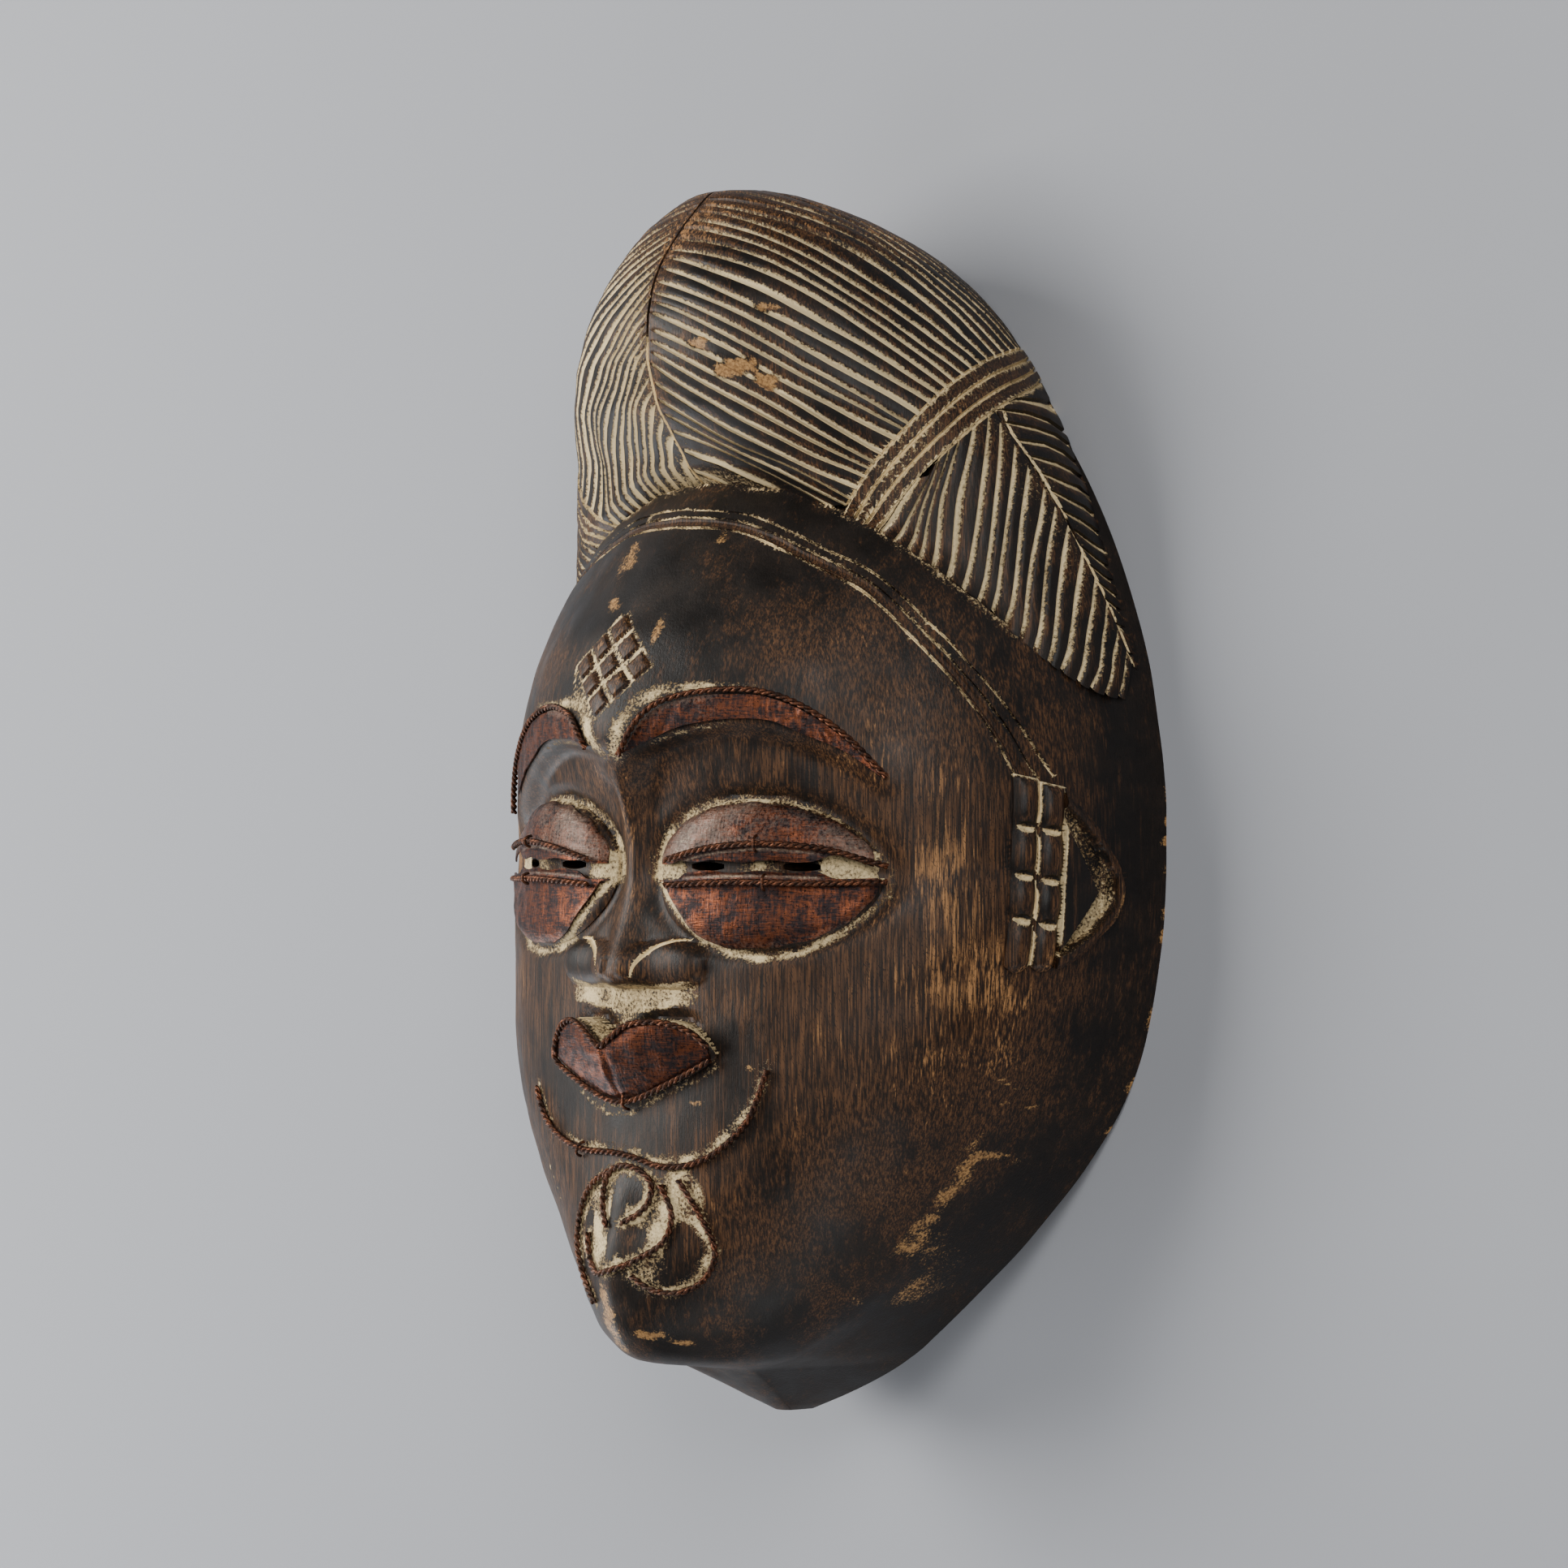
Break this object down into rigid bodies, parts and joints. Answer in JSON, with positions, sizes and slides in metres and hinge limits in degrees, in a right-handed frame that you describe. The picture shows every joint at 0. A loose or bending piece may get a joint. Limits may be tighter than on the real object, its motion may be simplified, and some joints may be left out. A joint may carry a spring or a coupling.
{
  "type": "african mask",
  "caption": "Carved dark wooden face mask with a high grooved crest, hollow back, slit eyes, and copper sheet and twisted wire on brows, eyes and lips.",
  "frame": {"origin": "centre of the outline, in the plane of the back rim", "axes": "+Z out of the face, +Y from the chin to the crest, +X to the viewer's right when facing the mask"},
  "size_m": [0.206, 0.33, 0.1108],
  "materials": {
    "stained_wood": "dark stained and waxed, worn",
    "copper_sheet": "thin beaten copper, tarnished",
    "copper_wire": "twisted copper wire, tarnished"
  },
  "bodies": {
    "root": {"mask_body": "stained_wood", "brow_strip_left": "copper_sheet", "eye_upper_plate_left": "copper_sheet", "eye_lower_plate_left": "copper_sheet", "brow_wire_left": "copper_wire", "eye_upper_wire_left": "copper_wire", "eye_lower_wire_left": "copper_wire", "brow_strip_right": "copper_sheet", "eye_upper_plate_right": "copper_sheet", "eye_lower_plate_right": "copper_sheet", "brow_wire_right": "copper_wire", "eye_upper_wire_right": "copper_wire", "eye_lower_wire_right": "copper_wire", "eye_upper_staple_left": "copper_wire", "eye_lower_staple_left": "copper_wire", "eye_upper_staple_right": "copper_wire", "eye_lower_staple_right": "copper_wire", "lip_staple": "copper_wire", "mouth_arc_staple": "copper_wire", "lip_plate": "copper_sheet", "upper_lip_wire": "copper_wire", "lower_lip_wire": "copper_wire", "mouth_arc_wire": "copper_wire", "chin_inner_wire": "copper_wire", "chin_middle_wire": "copper_wire", "chin_outer_wire": "copper_wire", "chin_far_wire": "copper_wire"}
  },
  "joints": []
}
